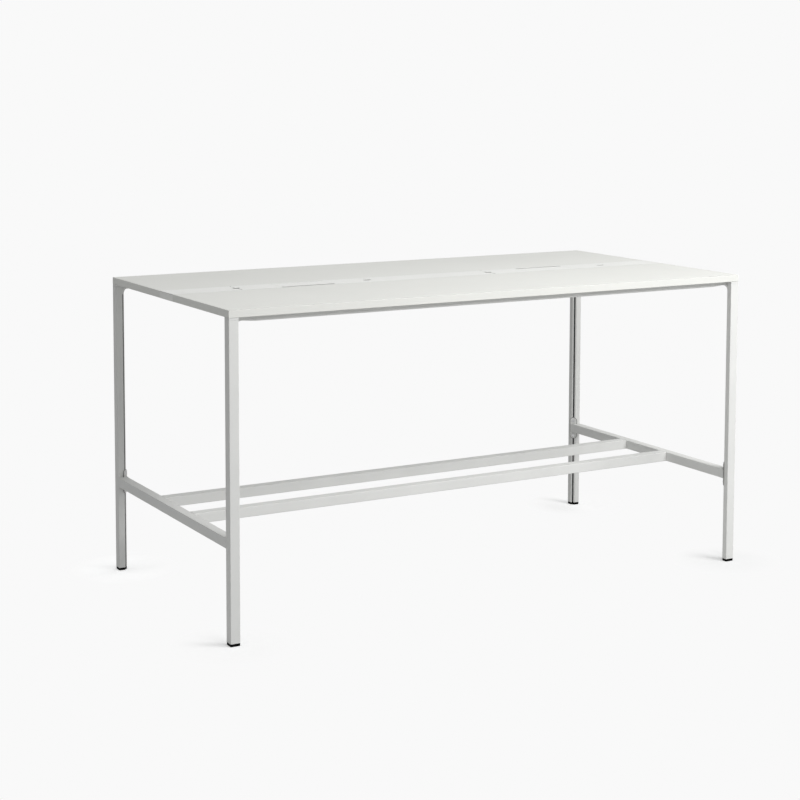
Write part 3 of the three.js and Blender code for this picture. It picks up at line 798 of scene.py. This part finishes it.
class TABLE_OT_feet(bpy.types.Operator):
    """Adds the four moulded feet"""

    bl_idname = "table.feet"
    bl_label = "Feet"

    def execute(self, context):
        shapes = context.scene.table_shapes
        for corner in CORNERS:
            low, _, size, place = leg_frame(corner)
            plain = chamfered_square(size - 2 * FINE, shapes.leg_chamfer) + FINE
            outline = softened(place(plain), shapes.foot_corner)
            foot = along_z(outline, 0.0, low[2] - FINE, (shapes.foot_edge, CAST))
            make_piece(f"foot_cap_{corner}", [foot], "black_plastic", [f"foot_{corner}"])
        return {"FINISHED"}


def add_casting(corner, shapes):
    """A casting: the cap on the leg, the arm that takes the rail, and the fillet under it, sheared to
    follow the leg's chamfer."""
    _, high, size, place = leg_frame(corner)
    sx, sy = corner_signs(corner)
    rail_low, rail_high = span("rail_rear" if sy > 0 else "rail_front")
    cast_low, cast_high = span(f"casting_{corner}")
    outer, edge, top = np.maximum(np.abs(cast_low), cast_high)
    reach = outer - rail_high[0] - FIT
    recess = edge - max(abs(rail_low[1]), abs(rail_high[1]))
    width = rail_high[1] - rail_low[1]
    under = rail_low[2]
    rise = under + shapes.arm_rise
    fillet = shapes.arm_fillet
    bow = arc((size + fillet, rise - fillet), fillet, math.pi / 2, math.pi, steps=16)
    seat = size - LAP / 2
    back = ((seat, rise - fillet), (seat, rise + LAP), (size + fillet, rise + LAP))
    sweep = np.concatenate((bow, back))
    tip = ((reach, top), (reach, under), (size + fillet, rise))
    web = np.array(((recess, top), *tip, (recess, rise)))
    arm = np.array(((size - LAP, top), *tip, (size - LAP, rise)))
    plain = softened(place(chamfered_square(size, shapes.leg_chamfer)), shapes.leg_corner)
    shells = [along_z(plain, high[2] + FINE, top, CAST)]
    parts = ((sweep, recess, size), (web, recess, size), (arm, size - LAP, recess + width))
    for profile, near, far in parts:
        world = np.column_stack((sx * (outer - profile[:, 0]), profile[:, 1]))
        ends = sorted((sy * (edge - near), sy * (edge - far)))
        points, faces = along_y(ccw(world), *ends, CAST)
        if profile is sweep:
            points[:, 0] += sx * (edge - sy * points[:, 1] - size + shapes.leg_chamfer)
        shells.append((points, faces))
    make_piece(f"corner_{corner}", shells, "casting_coat", [f"casting_{corner}"])


class TABLE_OT_castings(bpy.types.Operator):
    """Adds the four corner castings"""

    bl_idname = "table.castings"
    bl_label = "Corner castings"

    def execute(self, context):
        for corner in CORNERS:
            add_casting(corner, context.scene.table_shapes)
        return {"FINISHED"}


def add_tube(prefix, node, carry, shapes):
    """A rail, beam or bar: the node's box across its length, with rounded corners, carried along X or Y."""
    low, high = span(node)
    along, across = (0, 1) if carry is along_x else (1, 0)
    outline = softened(rectangle(low[across], low[2], high[across], high[2]), shapes.tube_corner)
    shell = carry(outline, low[along], high[along], CUT)
    make_piece(f"{prefix}_{node}", [shell], "frame_coat", [node])


class TABLE_OT_rails_and_beams(bpy.types.Operator):
    """Adds the long rails and the cross-beams under the top"""

    bl_idname = "table.rails_and_beams"
    bl_label = "Rails and beams"

    def execute(self, context):
        shapes = context.scene.table_shapes
        for name in ("rail_front", "rail_rear"):
            add_tube("long", name, along_x, shapes)
        for name in ("beam_left_outer", "beam_left_inner", "beam_right_inner", "beam_right_outer"):
            add_tube("cross", name, along_y, shapes)
        return {"FINISHED"}


class TABLE_OT_cable_trays(bpy.types.Operator):
    """Adds the two cable trays, bent from sheet"""

    bl_idname = "table.cable_trays"
    bl_label = "Cable trays"

    def execute(self, context):
        shapes = context.scene.table_shapes
        bend = shapes.tray_bend
        sheet = shapes.tray_sheet
        for side in ("left", "right"):
            name = f"cable_tray_{side}"
            low, high = span(name)
            rim = high[1]
            top = high[2]
            wall = rim - shapes.tray_flange
            outside = ((wall, low[2]), (wall, top - sheet), (rim, top - sheet))
            inside = ((rim, top), (wall - sheet, top), (wall - sheet, low[2] + sheet))
            half = np.array(outside + inside)
            outline = np.concatenate((half, half[::-1] * (-1, 1)))
            soft = np.array((bend, bend - sheet, CUT, CUT, bend, bend - sheet))
            outline = softened(outline, np.concatenate((soft, soft[::-1])), steps=5)
            shell = along_x(outline, low[0], high[0], FINE)
            make_piece(f"wire_tray_{side}", [shell], "tray_coat", [name])
        return {"FINISHED"}


class TABLE_OT_low_bars(bpy.types.Operator):
    """Adds the crossbars between the legs and the footrest bars between the crossbars"""

    bl_idname = "table.low_bars"
    bl_label = "Crossbars and footrest"

    def execute(self, context):
        shapes = context.scene.table_shapes
        for name in ("crossbar_left", "crossbar_right"):
            add_tube("end", name, along_y, shapes)
        for name in ("footrest_front", "footrest_rear"):
            add_tube("bar", name, along_x, shapes)
        return {"FINISHED"}


def bracket_frame(corner, shapes):
    """The middle of a bracket plate's place on the leg's chamfer, the way across it and the way out."""
    _, _, size, place = leg_frame(corner)
    sx, sy = corner_signs(corner)
    middle = size - shapes.leg_chamfer / 2
    x, y = place((middle, middle))
    plate_low, plate_high = span(f"bracket_plate_{corner}")
    out = np.array((-sx, -sy, 0.0)) / math.sqrt(2)
    return np.array((x, y, (plate_low[2] + plate_high[2]) / 2)), np.cross((0, 0, 1), out), out


def add_bracket_plate(corner, shapes):
    """A plate with round ends and a dark rim, painted shade round the plate, and the wedge between it and
    the crossbar.
    """
    node = f"bracket_plate_{corner}"
    origin, across, _ = bracket_frame(corner, shapes)
    low, high = span(node)
    _, _, size, place = leg_frame(corner)
    bar_low, bar_high = span("crossbar_left")
    half = shapes.plate_width / 2
    face = FIT + shapes.plate_thickness
    rise = (high[2] - low[2]) / 2 - half
    crown = arc((0, rise), half, 0, math.pi, steps=24)
    base = arc((0, -rise), half, math.pi, 2 * math.pi, steps=24)
    pill = np.concatenate((crown, base))
    plate = swept(pill, FIT, face, across, (0, 0, 1), (CUT, shapes.plate_edge), origin)
    reach = size - shapes.leg_chamfer / 2 + (face - LAP) / math.sqrt(2)
    tip = (half - 2 * LAP) / math.sqrt(2)
    side = size + FIT
    start = 2 * reach - side
    wedge = ((reach + tip, reach - tip), (side, start), (side, start + shapes.wedge_length))
    gusset = along_z(ccw(place(wedge)), bar_low[2] + LAP, bar_high[2] - LAP, shapes.wedge_edge)
    piece = make_piece(f"pill_plate_{corner}", [plate, gusset], "frame_coat", [node])
    # The walls of the plate's rim get the painted shade.
    walls = len(plate[1]) - 2
    second_finish(piece, "rim_coat", np.arange(len(piece.data.polygons)) < walls)


class TABLE_OT_bracket_plates(bpy.types.Operator):
    """Adds the rounded plates that hold the crossbars to the legs"""

    bl_idname = "table.bracket_plates"
    bl_label = "Bracket plates"

    def execute(self, context):
        for corner in CORNERS:
            add_bracket_plate(corner, context.scene.table_shapes)
        return {"FINISHED"}


class TABLE_OT_bracket_screws(bpy.types.Operator):
    """Adds the two screws of each bracket plate"""

    bl_idname = "table.bracket_screws"
    bl_label = "Bracket screws"

    def execute(self, context):
        shapes = context.scene.table_shapes
        head = shapes.screw_head
        socket = shapes.screw_socket
        seat = FIT + shapes.plate_thickness + FINE
        rim, top, floor = (seat + shapes.screw_rise * share for share in SOCKET_LEVELS)
        dome = arc((0, 0), 1.0, DOME_START, DOME_END, steps=6) + (DOME_PUSH, 0.0)
        dome = dome * (head, shapes.screw_rise) + (0.0, seat)
        shank = ((head / 2, -shapes.screw_shank), (head / 2, seat), (head, seat))
        recess = ((socket + shapes.socket_rim, rim), (socket, top), (socket, floor))
        profile = np.concatenate((shank, dome, recess))
        for corner in CORNERS:
            origin, _, out = bracket_frame(corner, shapes)
            for end in ("upper", "lower"):
                name = f"screw_{end}_{corner}"
                low, high = span(name)
                place = np.array((origin[0], origin[1], (low[2] + high[2]) / 2))
                shell = turned(profile, out, place, hexagon=len(profile) - 2)
                make_piece(f"cap_{name}", [shell], "plated_steel", [name])
        return {"FINISHED"}


class TABLE_OT_hidden_steel(bpy.types.Operator):
    """Finishes the nut plates in the legs and the pins in the flaps"""

    bl_idname = "table.hidden_steel"
    bl_label = "Nut plates and pins"

    def execute(self, context):
        for name in [f"nut_plate_{corner}" for corner in CORNERS] + ["flap_pin_left", "flap_pin_right"]:
            dress_node(name, "plated_steel")
        return {"FINISHED"}


# Stage


def seen_rays(tree):
    """One where a ray comes from the camera, a reflection or clear material, and zero where it is
    diffuse light."""
    path = add_node(tree, "LightPath")
    found = path.outputs["Is Camera Ray"]
    for kind in ("Is Glossy Ray", "Is Transmission Ray"):
        found = add_sum(tree, "Math", "MAXIMUM", found, path.outputs[kind])
    return found


def paper_floor(stage):
    """Floor paper: the camera sees it in one near white, with the shadow that each leg throws beside its
    foot. The lit part has that same white where nothing shades it: white / (light + slope x place), which
    follows the lamps across the floor. It blends into the plain white with distance from the nearest foot.
    The table gets a plain grey bounce from the floor."""
    finish, tree, place = start_finish("floor_paper")
    grain = add_noise(tree, place, scale=300.0, detail=3.0)
    grey = (stage.bounce,) * 3
    tint = tint_range(tree, grain, shade(grey, 0.99), shade(grey, 1.01))
    end_finish(finish, Base_Color=tint, Roughness=0.9, Specular_IOR_Level=0.1)
    plain = add_node(tree, "Emission", Color=(stage.paper, stage.paper, stage.paper, 1.0))
    slope = add_sum(tree, "VectorMath", "DOT_PRODUCT", place, FLOOR_SLOPE)
    light = add_sum(tree, "Math", "ADD", slope, FLOOR_LIGHT)
    lit = add_node(tree, "BsdfDiffuse", Color=add_sum(tree, "Math", "DIVIDE", stage.paper, light))
    low, high = span("foot_rear_right")
    foot = (low + high) / 2
    quarter = add_sum(tree, "VectorMath", "ABSOLUTE", place)
    beside = add_sum(tree, "VectorMath", "SUBTRACT", quarter, (foot[0], foot[1], 0.0))
    distance = add_sum(tree, "VectorMath", "LENGTH", beside)
    fade = number_range(tree, distance, 1.0 - stage.shadow, 1.0, SHADOW_FADE, kind="SMOOTHSTEP")
    seen = add_node(tree, "MixShader", fade, lit.outputs["BSDF"], plain.outputs["Emission"])
    bounce = tree.nodes["Principled BSDF"].outputs["BSDF"]
    both = add_node(tree, "MixShader", seen_rays(tree), bounce, seen.outputs["Shader"])
    plug(tree, tree.nodes["Material Output"], Surface=both.outputs["Shader"])
    return finish


def paper_world(stage):
    """World: even light on the table, and the paper's white where it is seen or mirrored."""
    world = bpy.data.worlds.new("paper_world")
    world.use_nodes = True
    tree = world.node_tree
    light = plug(tree, tree.nodes["Background"], Color=SKY_TINT, Strength=stage.sky)
    seen = add_node(tree, "Background", Color=(1.0, 1.0, 1.0, 1.0), Strength=stage.paper)
    shaders = (shader.outputs["Background"] for shader in (light, seen))
    both = add_node(tree, "MixShader", seen_rays(tree), *shaders)
    plug(tree, tree.nodes["World Output"], Surface=both.outputs["Shader"])
    bpy.context.scene.world = world


def put_facing(name, data, side, up, back, place):
    """A camera or lamp in the scene at a place, with its own axes given; it looks against back."""
    matrix = np.eye(4)
    matrix[:3, :3] = np.column_stack((side, up, back))
    matrix[:3, 3] = place
    thing = bpy.data.objects.new(name, data)
    bpy.context.scene.collection.objects.link(thing)
    thing.matrix_world = Matrix(matrix.tolist())
    return thing


def add_camera():
    """Camera at the photograph's place: position, angles and lens solved from the table's corners."""
    heading, tilt, roll = (math.radians(angle) for angle in (HEADING, TILT, ROLL))
    flat = math.cos(tilt)
    ahead = np.array((math.sin(heading) * flat, math.cos(heading) * flat, -math.sin(tilt)))
    right = np.array((math.cos(heading), -math.sin(heading), 0.0))
    up = np.cross(right, ahead)
    side = right * math.cos(roll) + up * math.sin(roll)
    top = up * math.cos(roll) - right * math.sin(roll)
    data = bpy.data.cameras.new("photo_camera")
    data.sensor_width = SENSOR
    data.lens = FOCAL * SENSOR / PICTURE
    data.shift_y = (AXIS_ROW - PICTURE / 2) / PICTURE
    data.clip_end = FAR_CLIP
    bpy.context.scene.camera = put_facing("photo_camera", data, side, top, -ahead, CAMERA_PLACE)


def add_softbox(name, place, target, size, power):
    """A square softbox that faces its target and isn't mirrored in the finishes."""
    data = bpy.data.lights.new(name, "AREA")
    data.shape = "SQUARE"
    data.size = size
    data.energy = power
    back = unit(np.array(place) - np.array(target))
    side = unit(np.cross((0.0, 1.0, 0.0) if abs(back[2]) > 0.99 else (0.0, 0.0, 1.0), back))
    lamp = put_facing(name, data, side, np.cross(back, side), back, place)
    lamp.visible_glossy = False


class TABLE_OT_stage(bpy.types.Operator):
    """Adds the floor, the light and the camera"""

    bl_idname = "table.stage"
    bl_label = "Stage"

    def execute(self, context):
        stage = context.scene.table_stage
        count = FLOOR_POINTS
        steps = np.linspace(-FLOOR_REACH, FLOOR_REACH, count)
        u, v = np.meshgrid(steps, steps)
        points = np.stack((u, v, np.zeros_like(u)), axis=-1).reshape(-1, 3)
        i, j = np.meshgrid(np.arange(count - 1), np.arange(count - 1), indexing="ij")
        corner = (i * count + j).reshape(-1, 1)
        quads = corner + (0, 1, count + 1, count)
        mesh = bpy.data.meshes.new("floor")
        mesh.from_pydata(points.tolist(), [], quads.tolist())
        mesh.materials.append(paper_floor(stage))
        floor = bpy.data.objects.new("floor", mesh)
        context.scene.collection.objects.link(floor)
        paper_world(stage)
        for name, power, place, target, size in SOFTBOXES:
            add_softbox(name, place, target, size, getattr(stage, power))
        add_camera()
        context.scene.view_settings.view_transform = "Standard"
        return {"FINISHED"}


class TABLE_PT_sidebar(bpy.types.Panel):
    """Lists the table's pieces, sizes and colours"""

    bl_idname = "TABLE_PT_sidebar"
    bl_label = "Standing meeting table"
    bl_space_type = "VIEW_3D"
    bl_region_type = "UI"
    bl_category = "Table"

    def draw(self, context):
        layout = self.layout
        for operator in PIECES:
            layout.operator(operator.bl_idname)
        for group in (context.scene.table_shapes, context.scene.table_finishes, context.scene.table_stage):
            box = layout.box()
            for name in group.bl_rna.properties.keys():
                if name not in ("rna_type", "name"):
                    box.prop(group, name)


GROUPS = (TableShapes, TableFinishes, TableStage)
PIECES = (
    TABLE_OT_top_panels,
    TABLE_OT_plain_lids,
    TABLE_OT_flap_lids,
    TABLE_OT_flaps,
    TABLE_OT_edge_profiles,
    TABLE_OT_legs,
    TABLE_OT_feet,
    TABLE_OT_castings,
    TABLE_OT_rails_and_beams,
    TABLE_OT_cable_trays,
    TABLE_OT_low_bars,
    TABLE_OT_bracket_plates,
    TABLE_OT_bracket_screws,
    TABLE_OT_hidden_steel,
    TABLE_OT_stage,
)


def register():
    """Registers the classes and hangs the property groups on the scene."""
    for cls in (*GROUPS, *PIECES, TABLE_PT_sidebar):
        bpy.utils.register_class(cls)
    bpy.types.Scene.table_shapes = bpy.props.PointerProperty(type=TableShapes)
    bpy.types.Scene.table_finishes = bpy.props.PointerProperty(type=TableFinishes)
    bpy.types.Scene.table_stage = bpy.props.PointerProperty(type=TableStage)


def unregister():
    """Takes the property groups off the scene and unregisters the classes."""
    del bpy.types.Scene.table_stage
    del bpy.types.Scene.table_finishes
    del bpy.types.Scene.table_shapes
    for cls in reversed((*GROUPS, *PIECES, TABLE_PT_sidebar)):
        bpy.utils.unregister_class(cls)


def main():
    """Builds every piece in order."""
    register()
    bpy.ops.table.top_panels()
    bpy.ops.table.plain_lids()
    bpy.ops.table.flap_lids()
    bpy.ops.table.flaps()
    bpy.ops.table.edge_profiles()
    bpy.ops.table.legs()
    bpy.ops.table.feet()
    bpy.ops.table.castings()
    bpy.ops.table.rails_and_beams()
    bpy.ops.table.cable_trays()
    bpy.ops.table.low_bars()
    bpy.ops.table.bracket_plates()
    bpy.ops.table.bracket_screws()
    bpy.ops.table.hidden_steel()
    bpy.ops.table.stage()


if __name__ == "__main__":
    main()
